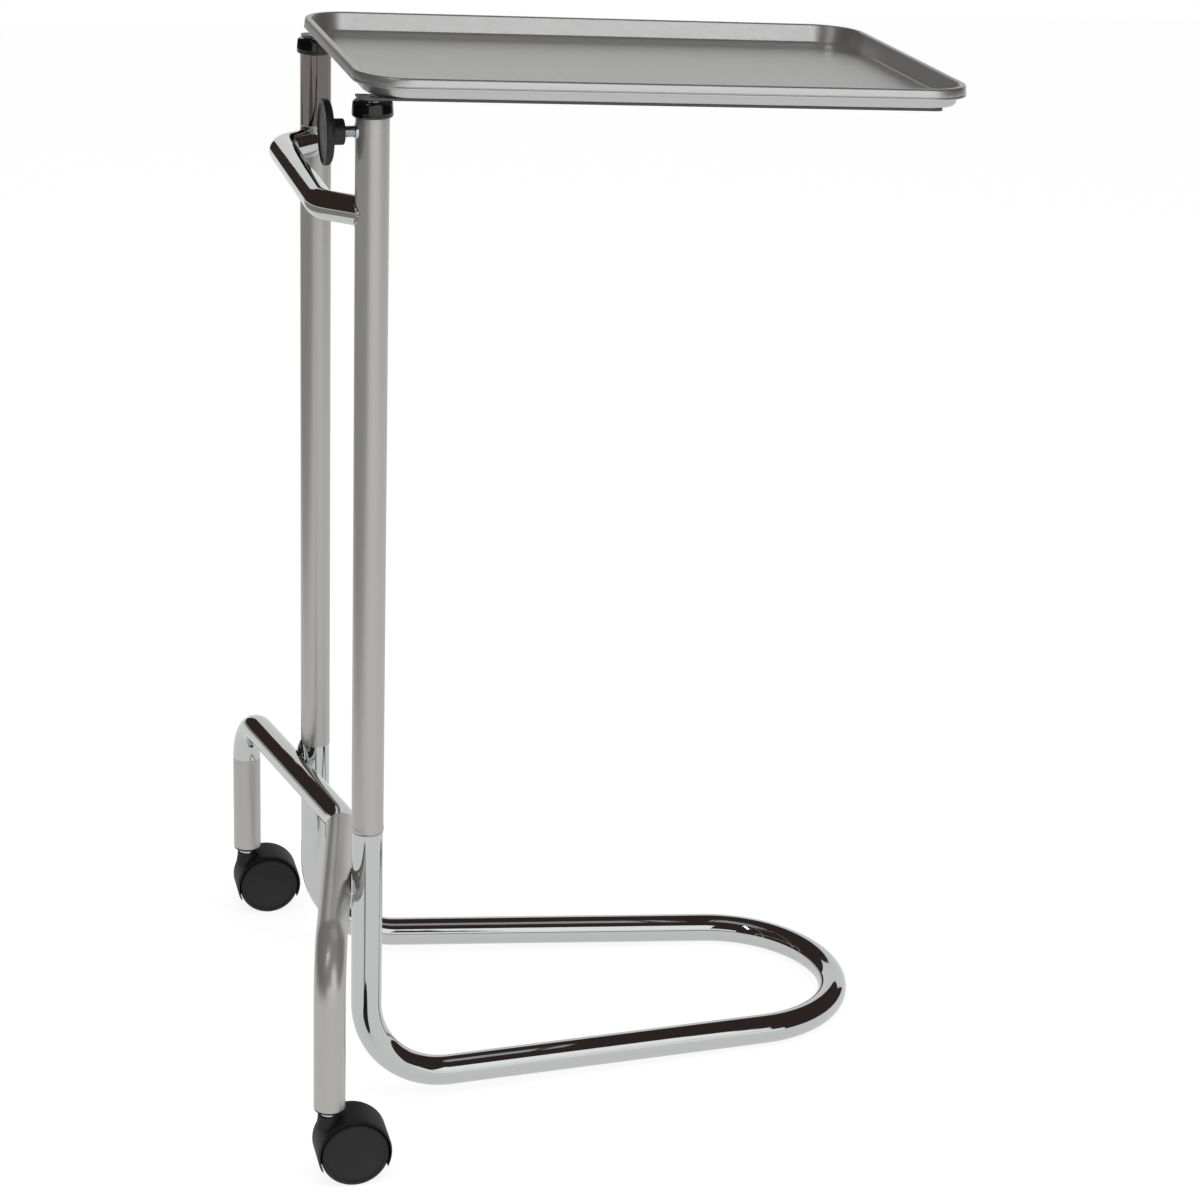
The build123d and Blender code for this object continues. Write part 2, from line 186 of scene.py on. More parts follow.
def bent_tube(points, bends, radius, sides):
    """A tube along straight runs joined by tangent arcs."""
    bm = bmesh.new()
    points = [Vector(p) for p in points]
    way = (points[1] - points[0]).normalized()
    bmesh.ops.create_circle(bm, cap_ends=False, segments=sides, radius=radius)
    turn = Vector((0, 0, 1)).rotation_difference(way).to_matrix().to_4x4()
    bmesh.ops.transform(bm, matrix=Matrix.Translation(points[0]) @ turn, verts=bm.verts)
    ring = list(bm.edges)
    here = points[0]
    for i, bend in enumerate(bends):
        corner = points[i + 1]
        go_in = (corner - points[i]).normalized()
        go_out = (points[i + 2] - corner).normalized()
        angle = go_in.angle(go_out)
        reach = bend * math.tan(angle / 2)
        start = corner - go_in * reach
        ring = pull(bm, ring, start - here)
        normal = go_in.cross(go_out).normalized()
        middle = start + normal.cross(go_in).normalized() * bend
        spun = bmesh.ops.spin(
            bm, geom=ring, cent=middle, axis=normal, angle=angle, steps=max(6, round(angle / BEND_STEP))
        )
        ring = edges_in(spun["geom_last"])
        here = corner + go_out * reach
    pull(bm, ring, points[-1] - here)
    cap_ends(bm)
    outward(bm)
    return bm


def wire(bm, points, rounds):
    """A chain of edges, with each listed corner rounded to its radius."""
    verts = [bmesh.ops.create_vert(bm, co=p)["vert"][0] for p in points]
    for a, b in zip(verts, verts[1:]):
        bm.edges.new((a, b))
    for index, radius in rounds.items():
        into = (points[index] - points[index - 1]).angle(points[index + 1] - points[index])
        bmesh.ops.bevel(
            bm, geom=[verts[index]], offset=radius * math.tan(into / 2), offset_type="OFFSET",
            segments=max(3, round(into / ROUND_STEP)), profile=0.5, affect="VERTICES",
            clamp_overlap=False, material=-1,
        )


def lathe(profile, rounds, steps, axis, at):
    """Spins a profile of (radius, height) points round an axis, then stands it at a place."""
    bm = bmesh.new()
    wire(bm, [Vector((r, 0, h)) for r, h in profile], rounds)
    bmesh.ops.spin(
        bm, geom=bm.verts[:] + bm.edges[:], cent=(0, 0, 0), axis=(0, 0, 1), angle=FULL_TURN,
        steps=steps, use_merge=True,
    )
    outward(bm)
    if axis != "Z":
        bmesh.ops.rotate(bm, cent=(0, 0, 0), matrix=LAY[axis], verts=bm.verts)
    bmesh.ops.translate(bm, vec=Vector(at), verts=bm.verts)
    return bm


# Turns that lay a lathe's axis along -X, +Y or -Y.
LAY = {
    "-X": Matrix.Rotation(-math.pi / 2, 3, "Y"),
    "+Y": Matrix.Rotation(-math.pi / 2, 3, "X"),
    "-Y": Matrix.Rotation(math.pi / 2, 3, "X"),
}


def join_into(bm, other):
    """Adds another bmesh's shells to the first."""
    mesh = bpy.data.meshes.new("passing")
    other.to_mesh(mesh)
    other.free()
    bm.from_mesh(mesh)
    bpy.data.meshes.remove(mesh)


def drooped(x, y, z):
    """Where a point of the tray or its frame lies, once both droop towards the free end."""
    return Matrix.Translation((POST_X, 0, TRAY_HINGE_Z)) @ TRAY_TURN @ Vector((x, y, z))


# Materials

def node(tree, kind, inputs=None, links=None, **settings):
    """Adds one node, with its settings, socket values and links."""
    made = tree.nodes.new(kind)
    for key, value in settings.items():
        setattr(made, key, value)
    for key, value in (inputs or {}).items():
        made.inputs[key].default_value = value
    for key, source in (links or {}).items():
        tree.links.new(source, made.inputs[key])
    return made


def new_material(name):
    made = bpy.data.materials.new(name)
    made.use_nodes = True
    made.node_tree.nodes.clear()
    return made, made.node_tree


def ramp(tree, source, stops):
    """Turns a grain into a level, by stops of (place, level)."""
    made = node(tree, "ShaderNodeValToRGB", links={"Fac": source})
    band = made.color_ramp
    while len(band.elements) < len(stops):
        band.elements.new(0.5)
    for element, (place, value) in zip(band.elements, stops):
        element.position = place
        element.color = (value,) * 3 + (1.0,)
    return made.outputs["Color"]


def grain(tree, scale, detail=2.0, stretch=(1.0, 1.0, 1.0), rough=0.5):
    """Noise in object space; scale is in grains per metre."""
    place = node(tree, "ShaderNodeTexCoord").outputs["Object"]
    sized = node(tree, "ShaderNodeMapping", {"Scale": stretch}, {"Vector": place})
    made = node(
        tree, "ShaderNodeTexNoise", {"Scale": scale, "Detail": detail, "Roughness": rough},
        {"Vector": sized.outputs["Vector"]},
    )
    return made.outputs["Fac"]


def finish_surface(tree, sockets, links):
    shader = node(tree, "ShaderNodeBsdfPrincipled", sockets, links)
    node(tree, "ShaderNodeOutputMaterial", links={"Surface": shader.outputs["BSDF"]})


def bump(tree, height, distance, strength):
    return node(
        tree, "ShaderNodeBump", {"Distance": distance, "Strength": strength}, {"Height": height}
    ).outputs["Normal"]


def shade(colour_value, level):
    return [c * level for c in colour_value[:3]] + [1.0]


def blend(tree, dark, light, mask):
    """A colour that a grain carries from dark to light."""
    return node(tree, "ShaderNodeMix", {6: dark, 7: light}, {0: mask}, data_type="RGBA").outputs[2]


def polished_chrome(colour_value, name="polished_chrome_plating"):
    """Bright chrome plating on drawn steel tube. The mirror shows hard dark and bright bands that waver a
    little, because the tube under the plating isn't perfectly round."""
    made, tree = new_material(name)
    waver = bump(tree, grain(tree, 28.0, 1.0, (1.0, 1.0, 0.35)), 0.00035, 0.5)
    haze = ramp(tree, grain(tree, 90.0, 4.0), [(0.35, 0.03), (0.75, 0.075)])
    finish_surface(tree, {"Base Color": colour_value, "Metallic": 1.0}, {"Roughness": haze, "Normal": waver})
    return made


def satin_chrome(colour_value):
    """Satin chrome on the posts: polished along the tube's length, then plated. The eye gets soft vertical
    bands with blurred edges and very fine lengthwise lines."""
    made, tree = new_material("satin_chrome_plating")
    lines = grain(tree, 2600.0, 2.0, (1.0, 1.0, 0.01))
    tone = blend(tree, shade(colour_value, 0.96), colour_value, lines)
    rough = ramp(tree, grain(tree, 260.0, 3.0, (1.0, 1.0, 0.05)), [(0.3, 0.31), (0.8, 0.35)])
    finish_surface(
        tree, {"Metallic": 0.7},
        {"Base Color": tone, "Roughness": rough, "Normal": bump(tree, lines, 0.000004, 0.1)},
    )
    return made


def satin_stainless(colour_value):
    """Pressed stainless sheet with a fine tumbled finish. The eye gets a soft grey sheen with tiny speckle
    on the flat, drawn as coarse as it needs to show, and blurred reflections in the walls."""
    made, tree = new_material("satin_stainless_sheet")
    speck = grain(tree, 900.0, 4.0, rough=0.7)
    tone = blend(tree, shade(colour_value, 0.84), colour_value, speck)
    rough = ramp(tree, grain(tree, 420.0, 4.0, rough=0.7), [(0.3, 0.28), (0.75, 0.40)])
    finish_surface(
        tree, {"Metallic": 0.88},
        {"Base Color": tone, "Roughness": rough, "Normal": bump(tree, speck, 0.00003, 0.25)},
    )
    return made


def rolled_stainless(colour_value):
    """The tray's rolled lip, buffed brighter than the pan. The eye gets a clear mirror line along it."""
    made, tree = new_material("buffed_stainless_lip")
    waver = bump(tree, grain(tree, 24.0, 1.0), 0.0003, 0.35)
    rough = ramp(tree, grain(tree, 500.0, 3.0, rough=0.6), [(0.3, 0.09), (0.75, 0.16)])
    finish_surface(tree, {"Base Color": colour_value, "Metallic": 1.0}, {"Roughness": rough, "Normal": waver})
    return made


def gloss_moulding(colour_value):
    """Glossy moulded ABS. The eye gets near black with one clean soft window highlight."""
    made, tree = new_material("glossy_moulded_abs")
    mould = bump(tree, grain(tree, 120.0, 2.0), 0.00008, 0.3)
    rough = ramp(tree, grain(tree, 60.0, 2.0), [(0.3, 0.10), (0.8, 0.18)])
    finish_surface(tree, {"Base Color": colour_value, "IOR": 1.53}, {"Roughness": rough, "Normal": mould})
    return made


def satin_moulding(name, colour_value, low, high, depth, per_metre):
    """Spark eroded moulded plastic or rubber, or steel in a grey that is painted shade, with its roughness from
    low to high. The eye gets soft grey highlights broken by a fine even grain."""
    made, tree = new_material(name)
    pores = grain(tree, per_metre, 3.0, rough=0.65)
    mottle = grain(tree, per_metre * 0.35, 3.0)
    tone = blend(tree, shade(colour_value, 0.75), shade(colour_value, 1.25), mottle)
    rough = ramp(tree, pores, [(0.3, low), (0.75, high)])
    finish_surface(
        tree, {"IOR": 1.5},
        {"Base Color": tone, "Roughness": rough, "Normal": bump(tree, pores, depth, 0.6)},
    )
    return made


def zinc_plate(colour_value):
    """Bright zinc on turned steel. The eye gets a cold white glint with fine turning rings."""
    made, tree = new_material("bright_zinc_plating")
    rings = grain(tree, 1400.0, 2.0, (1.0, 0.1, 0.1))
    rough = ramp(tree, grain(tree, 300.0, 3.0), [(0.3, 0.12), (0.8, 0.26)])
    finish_surface(
        tree, {"Base Color": colour_value, "Metallic": 1.0},
        {"Roughness": rough, "Normal": bump(tree, rings, 0.00004, 0.4)},
    )
    return made


def turned_brass(colour_value):
    """Turned brass, a little dulled. The eye gets warm yellow with soft glints."""
    made, tree = new_material("turned_brass")
    rough = ramp(tree, grain(tree, 500.0, 3.0), [(0.3, 0.2), (0.8, 0.4)])
    finish_surface(tree, {"Base Color": colour_value, "Metallic": 1.0}, {"Roughness": rough})
    return made


MADE = {}


def material(key):
    """Each finish is made once, when the first piece asks for it."""
    if key not in MADE:
        tubes = bpy.context.scene.mayo_tubes
        tray = bpy.context.scene.mayo_tray
        plastic = bpy.context.scene.mayo_plastic
        makers = {
            "chrome": lambda: polished_chrome(tuple(tubes.chrome)),
            "satin": lambda: satin_chrome(tuple(tubes.satin)),
            # A darker, warmer chrome colour for the far post's top: a painted dark reflection.
            "painted_dark_mirror": lambda: polished_chrome(from_hex("#77726f"), "chrome_with_painted_reflection"),
            "stainless": lambda: satin_stainless(tuple(tray.steel)),
            "lip": lambda: rolled_stainless(tuple(tray.steel)),
            "cap": lambda: gloss_moulding(tuple(plastic.cap_black)),
            "knob": lambda: satin_moulding(
                "satin_moulded_phenolic", tuple(plastic.knob_black), 0.34, 0.52, 0.00005, 1500.0
            ),
            "castor": lambda: satin_moulding(
                "grained_black_nylon", tuple(plastic.castor_black), 0.5, 0.72, 0.00012, 1300.0
            ),
            "rubber": lambda: satin_moulding(
                "soft_black_rubber", from_hex("#161616"), 0.7, 0.9, 0.0001, 900.0
            ),
            # A mid grey for the tray frame, darkened so it reads as the shade under the tray: painted shade.
            "frame_shade_grey": lambda: satin_moulding(
                "grey_steel_painted_shade", from_hex("#5c5c5e"), 0.3, 0.45, 0.00002, 1100.0
            ),
            "bush": lambda: satin_moulding("natural_nylon", from_hex("#d8d6cc"), 0.4, 0.6, 0.00005, 800.0),
            "zinc": lambda: zinc_plate(from_hex("#c3c9cf")),
            "brass": lambda: turned_brass(from_hex("#c9a35a")),
        }
        MADE[key] = makers[key]()
    return MADE[key]


def coat(obj, *keys):
    """Puts finishes in an object's material slots, in order."""
    obj.data.materials.clear()
    for key in keys:
        obj.data.materials.append(material(key))


# Routes of the bent tubes: the points where straight runs would meet, and each bend's radius

def floor_route():
    tip = HALF_SPAN / math.tan(LOOP_TAPER)
    fall = (CORNER_Z - NOSE_Z) / LOOP_RUN
    bend = (tip - LOOP_RUN) / (1 / math.sin(LOOP_TAPER) - 1)
    points = [
        (POST_X, -POST_Y, RISER_TOP_Z), (POST_X, -POST_Y, CORNER_Z),
        (POST_X + tip, 0, CORNER_Z - fall * tip),
        (POST_X, POST_Y, CORNER_Z), (POST_X, POST_Y, RISER_TOP_Z),
    ]
    return points, [LOOP_BEND, bend, LOOP_BEND]


def bridge_sweep():
    """How far each arm of the bridge leans from the line between the posts."""
    back, out = POST_X - LEG_X, LEG_Y - POST_Y
    return math.atan2(back, out) - math.asin(BRIDGE_GAP / math.hypot(back, out))


def bridge_route():
    apex = LEG_X + LEG_Y * math.tan(bridge_sweep())
    points = [
        (LEG_X, -LEG_Y, LEG_FOOT_Z), (LEG_X, -LEG_Y, BRIDGE_Z), (apex, 0, BRIDGE_Z),
        (LEG_X, LEG_Y, BRIDGE_Z), (LEG_X, LEG_Y, LEG_FOOT_Z),
    ]
    return points, [LEG_BEND, APEX_BEND, LEG_BEND]


def handle_route():
    points = [
        (POST_X, -POST_Y, HANDLE_Z), (POST_X - HANDLE_OUT, -HANDLE_HALF, HANDLE_Z),
        (POST_X - HANDLE_OUT, HANDLE_HALF, HANDLE_Z), (POST_X, POST_Y, HANDLE_Z),
    ]
    return points, [HANDLE_BEND, HANDLE_BEND]


class MAYO_OT_bent_tubes(bpy.types.Operator):
    """Bends the floor loop, the castor bridge and the push handle"""
    bl_idname = "mayo.bent_tubes"
    bl_label = "Bent tubes"

    def execute(self, context):
        s = context.scene.mayo_tubes
        for name, route, radius in (
            ("floor_loop", floor_route, s.tube_radius), ("castor_bridge", bridge_route, s.tube_radius),
            ("push_handle", handle_route, s.handle_radius),
        ):
            points, bends = route()
            bm = bent_tube(points, bends, radius, s.sides)
            if name == "floor_loop":
                for _, side in SIDES:
                    # Each riser ends in a neck that the post slides over.
                    neck = [
                        (0.0, NECK_FOOT_Z), (NECK_RADIUS, NECK_FOOT_Z), (NECK_RADIUS, NECK_TOP_Z),
                        (0.0, NECK_TOP_Z),
                    ]
                    join_into(bm, lathe(neck, {2: 0.001}, s.sides, "Z", (POST_X, side * POST_Y, 0)))
            obj = piece(name + "_bright", bm, "stand", 60.0)
            coat(obj, "chrome")
            if name == "castor_bridge":
                # The near arm and both legs are satin, the rest is polished.
                coat(obj, "chrome", "satin")
                for face in obj.data.polygons:
                    face.material_index = 1 if face.center.y < -0.012 or face.center.z < 0.15 else 0
            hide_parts(name)
        return {"FINISHED"}


def weld_ring(start, way, ring_r, bead_r, saddle_r, seed):
    """A weld bead round a tube where it meets a post, rippled as it was laid, and bent to lie on the
    post's side. The seed shifts the ripples."""
    bm = bmesh.new()
    bmesh.ops.create_circle(bm, cap_ends=False, segments=14, radius=bead_r)
    bmesh.ops.rotate(bm, cent=(0, 0, 0), matrix=Matrix.Rotation(math.pi / 2, 3, "X"), verts=bm.verts)
    bmesh.ops.translate(bm, vec=(ring_r, 0, 0), verts=bm.verts)
    bmesh.ops.spin(
        bm, geom=bm.verts[:] + bm.edges[:], cent=(0, 0, 0), axis=(0, 0, 1), angle=FULL_TURN, steps=128,
        use_merge=True,
    )
    outward(bm)
    turn = Vector((0, 0, 1)).rotation_difference(way).to_matrix()
    side = turn @ Vector((1, 0, 0))
    across = turn @ Vector((0, 1, 0))
    level = Vector((way.y, -way.x, 0)).normalized()
    for v in bm.verts:
        angle = math.atan2(v.co.y, v.co.x)
        ripple = 1.0 + 0.09 * math.sin(angle * 34 + seed) + 0.06 * math.sin(angle * 5 + seed * 2)
        spoke = Vector((math.cos(angle), math.sin(angle), 0)) * ring_r
        v.co = spoke + (v.co - spoke) * ripple
        out = side * v.co.x + across * v.co.y
        flat = out.dot(level)
        v.co.z += math.sqrt(max(saddle_r * saddle_r - flat * flat, 0.0))
    bmesh.ops.transform(bm, matrix=Matrix.Translation(start) @ turn.to_4x4(), verts=bm.verts)
    return bm


class MAYO_OT_welds(bpy.types.Operator):
    """Lays the weld beads that hold the handle and the bridge to the posts"""
    bl_idname = "mayo.welds"
    bl_label = "Weld beads"

    def execute(self, context):
        s = context.scene.mayo_tubes
        both = bmesh.new()
        for _, side in SIDES:
            start = Vector((POST_X, side * POST_Y, HANDLE_Z))
            corner = Vector((POST_X - HANDLE_OUT, side * HANDLE_HALF, HANDLE_Z))
            way = (corner - start).normalized()
            join_into(both, weld_ring(start, way, s.handle_radius + 0.0002, 0.0014, s.post_radius, side))
        obj = piece("handle_weld_beads", both, "stand", 80.0)
        coat(obj, "chrome")
        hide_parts("handle_welds")
        both = bmesh.new()
        sweep = bridge_sweep()
        weld_half = (0.0062, 0.0118, 0.0200)
        for _, side in SIDES:
            way = Vector((-math.cos(sweep), -side * math.sin(sweep), 0))
            middle = Vector((POST_X, side * POST_Y, BRIDGE_Z + 0.002)) + way * (s.tube_radius + 0.0001)
            bm = bmesh.new()
            bmesh.ops.create_uvsphere(bm, u_segments=64, v_segments=48, radius=1.0)
            for v in bm.verts:
                # Drawn out to a point above and below, as a washed and plated fillet is.
                pinch = 1.0 - 0.45 * abs(v.co.z) ** 0.7
                v.co = Vector((v.co.x * pinch, v.co.y * pinch, v.co.z))
            bmesh.ops.scale(bm, vec=weld_half, verts=bm.verts)
            bmesh.ops.rotate(
                bm, cent=(0, 0, 0), matrix=Matrix.Rotation(math.atan2(way.y, way.x), 3, "Z"), verts=bm.verts
            )
            bmesh.ops.translate(bm, vec=middle, verts=bm.verts)
            join_into(both, bm)
        obj = piece("bridge_weld_beads", both, "stand", 80.0)
        coat(obj, "chrome")
        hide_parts("bridge_welds")
        return {"FINISHED"}


class MAYO_OT_posts(bpy.types.Operator):
    """Draws the outer posts with their swollen weld seam, and the telescoping inner tubes"""
    bl_idname = "mayo.posts"
    bl_label = "Posts"

    def execute(self, context):
        s = context.scene.mayo_tubes
        r = s.post_radius
        for name, side in SIDES:
            low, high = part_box("outer_post_" + name)
            foot, bore, swollen = low.z, r - POST_WALL, r + s.seam_swell
            profile = [
                (bore, foot), (r - 0.0004, foot), (swollen, foot + 0.0016), (swollen, foot + 0.0034),
                (r, foot + 0.0065), (r, high.z), (bore, high.z), (bore, foot),
            ]
            rounds = {1: 0.0006, 4: 0.006}
            if name == "far":
                # The far post's plating ends lower, just above the bridge, in a square thin edge.
                skirt, inside = FAR_SKIRT_Z, s.tube_radius + 0.00005
                profile = [
                    (inside, skirt), (r, skirt), (r, PAINTED_REFLECTION_FOOT_Z), (r, high.z), (bore, high.z),
                    (bore, foot), (inside, foot), (inside, skirt),
                ]
                rounds = {1: 0.0002}
            bm = lathe(profile, rounds, s.sides * 2, "Z", (POST_X, side * POST_Y, 0))
            obj = piece("outer_post_%s_satin" % name, bm, "stand", 50.0)
            coat(obj, "satin", "painted_dark_mirror")
            if name == "far":
                # Above the handle this post gets a darker chrome colour: a painted dark reflection.
                for face in obj.data.polygons:
                    face.material_index = 1 if face.center.z > PAINTED_REFLECTION_FOOT_Z + 0.0005 else 0
            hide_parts("outer_post_" + name)
            low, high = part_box("inner_tube_" + name)
            profile = [
                (INNER_BORE, low.z), (INNER_RADIUS, low.z), (INNER_RADIUS, high.z), (INNER_BORE, high.z),
                (INNER_BORE, low.z),
            ]
            bm = lathe(profile, {1: 0.0004, 2: 0.0004}, s.sides * 2, "Z", (POST_X, side * POST_Y, 0))
            obj = piece("inner_tube_%s_bright" % name, bm, "lift", 50.0)
            coat(obj, "chrome")
            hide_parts("inner_tube_" + name)
        return {"FINISHED"}


class MAYO_OT_caps(bpy.types.Operator):
    """Turns the glossy caps on the post tops"""
    bl_idname = "mayo.caps"
    bl_label = "Post caps"

    def execute(self, context):
        for name, side in SIDES:
            low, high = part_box("post_cap_" + name)
            z0, z1, out = low.z, high.z, (high.x - low.x) / 2
            socket, bore, ledge = 0.0142, 0.0114, z0 + 0.0117
            profile = [
                (socket, ledge), (socket, z0), (out, z0), (out, z0 + 0.0045), (out - 0.0008, z1),
                (bore, z1 - 0.0004), (bore, ledge), (socket, ledge),
            ]
            rounds = {1: 0.0003, 2: 0.0022, 3: 0.006, 4: 0.0026, 5: 0.0004}
            bm = lathe(profile, rounds, 144, "Z", (POST_X, side * POST_Y, 0))
            obj = piece("post_cap_%s_gloss" % name, bm, "stand", 50.0)
            coat(obj, "cap")
            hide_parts("post_cap_" + name)
        return {"FINISHED"}


class MAYO_OT_tray(bpy.types.Operator):
    """Presses the tray: flat floor, steep walls and a shouldered, rolled lip"""
    bl_idname = "mayo.tray"
    bl_label = "Tray"

    def execute(self, context):
        s = context.scene.mayo_tray
        half_l = s.tray_length / 2 - s.corner_radius
        half_w = s.tray_width / 2 - s.corner_radius
        top = 0.0176
        # Section points: (inset from the rim's outer edge, height above the pan's underside).
        section = [
            (0.0250, 0.0010), (0.0098, 0.0010), (0.0063, top), (0.0012, top), (0.0005, top - 0.0064),
            (0.0011, top - 0.0071), (0.0002, top - 0.0078), (0.0002, top - 0.0092), (0.0012, top - 0.0096),
            (0.0030, top - 0.0096), (0.0030, top - 0.0087), (0.0018, top - 0.0083), (0.0018, top - 0.0010),
            (0.0054, top - 0.0010), (0.0089, 0.0), (0.0250, 0.0),
        ]
        rounds = {
            1: 0.0018, 2: 0.0014, 3: 0.0018, 4: 0.0005, 5: 0.0003, 6: 0.0006, 7: 0.0008, 8: 0.0006, 9: 0.0003,
            10: 0.0003, 11: 0.0006, 12: 0.0010, 13: 0.0012, 14: 0.0032,
        }
        bm = bmesh.new()
        start = Vector((-half_l, -half_w, 0))
        wire(bm, [start + Vector((0, -(s.corner_radius - inset), z)) for inset, z in section], rounds)
        ring = bm.edges[:]
        corner = start
        for dx, dy in ((1, 0), (0, 1), (-1, 0), (0, -1)):
            span = Vector((dx * 2 * half_l, dy * 2 * half_w, 0))
            ring = pull(bm, ring, span)
            corner = corner + span
            spun = bmesh.ops.spin(bm, geom=ring, cent=corner, axis=(0, 0, 1), angle=math.pi / 2, steps=20)
            ring = edges_in(spun["geom_last"])
        bmesh.ops.remove_doubles(bm, verts=bm.verts, dist=1e-6)
        cap_ends(bm)
        bmesh.ops.recalc_face_normals(bm, faces=bm.faces)
        lip_depth, lip_foot = 0.0068, top - 0.0102
        for face in bm.faces:
            middle = face.calc_center_median()
            near_edge = max(abs(middle.x) - half_l, abs(middle.y) - half_w)
            away = math.hypot(max(abs(middle.x) - half_l, 0), max(abs(middle.y) - half_w, 0))
            outer = max(away, near_edge) > s.corner_radius - lip_depth
            face.material_index = 1 if outer and middle.z > lip_foot else 0
        back, bar_top = -0.014, 0.0026
        place = Matrix.Translation(drooped(back + s.tray_length / 2, 0, bar_top))
        bmesh.ops.transform(bm, matrix=place @ TRAY_TURN, verts=bm.verts)
        obj = piece("tray_pressed", bm, "tray_body", 50.0)
        coat(obj, "stainless", "lip")
        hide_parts("tray")
        return {"FINISHED"}


class MAYO_OT_clamp(bpy.types.Operator):
    """Turns the clamp knob and its zinc plated screw"""
    bl_idname = "mayo.clamp"
    bl_label = "Clamp knob"

    def execute(self, context):
        low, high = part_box("clamp_knob")
        length_all = high.x - low.x
        out = (high.z - low.z) / 2
        at = (high.x, -POST_Y, (low.z + high.z) / 2)
        profile = [
            (0.0, 0.0), (0.01075, 0.0), (0.01075, 0.0092), (0.0150, 0.0102), (out - 0.0024, 0.0112),
            (out, 0.0130), (out, length_all), (out - 0.0018, length_all), (out - 0.0034, length_all - 0.0012),
            (0.0120, length_all - 0.0014), (0.0, length_all - 0.0006),
        ]
        rounds = {1: 0.0014, 2: 0.0012, 3: 0.004, 4: 0.0025, 5: 0.0022, 6: 0.0009, 7: 0.0006, 8: 0.0012, 9: 0.02}
        bm = lathe(profile, rounds, 128, "-X", at)
        obj = piece("clamp_knob_moulded", bm, "knob", 50.0)
        coat(obj, "knob")
        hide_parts("clamp_knob")
        self.screw(at)
        return {"FINISHED"}

    def screw(self, at):
        low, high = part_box("clamp_screw")
        tip, root, crest, pitch = -0.0095, 0.0042, 0.0049, 0.0015
        core = lathe([(0.0, tip), (root, tip), (root, 0.006), (0.0, 0.006)], {1: 0.0004}, 64, "-X", at)
        # One rolled thread ridge, wound along the screw.
        bm = bmesh.new()
        ridge = [(root - 0.0001, 0.00002), (crest, 0.00062), (crest, 0.00080), (root - 0.0001, 0.00140)]
        wire(bm, [Vector((r, 0, h)) for r, h in ridge], {})
        turns, steps = 8, 36
        bmesh.ops.spin(
            bm, geom=bm.verts[:] + bm.edges[:], cent=(0, 0, 0), axis=(0, 0, 1),
            dvec=(0, 0, pitch / steps), angle=FULL_TURN * turns, steps=steps * turns,
        )
        cap_ends(bm)
        outward(bm)
        bmesh.ops.translate(bm, vec=(0, 0, tip), verts=bm.verts)
        bmesh.ops.rotate(bm, cent=(0, 0, 0), matrix=LAY["-X"], verts=bm.verts)
        bmesh.ops.translate(bm, vec=Vector(at), verts=bm.verts)
        join_into(core, bm)
        obj = piece("clamp_screw_threaded", core, "knob", 40.0)
        coat(obj, "zinc")
        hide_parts("clamp_screw")


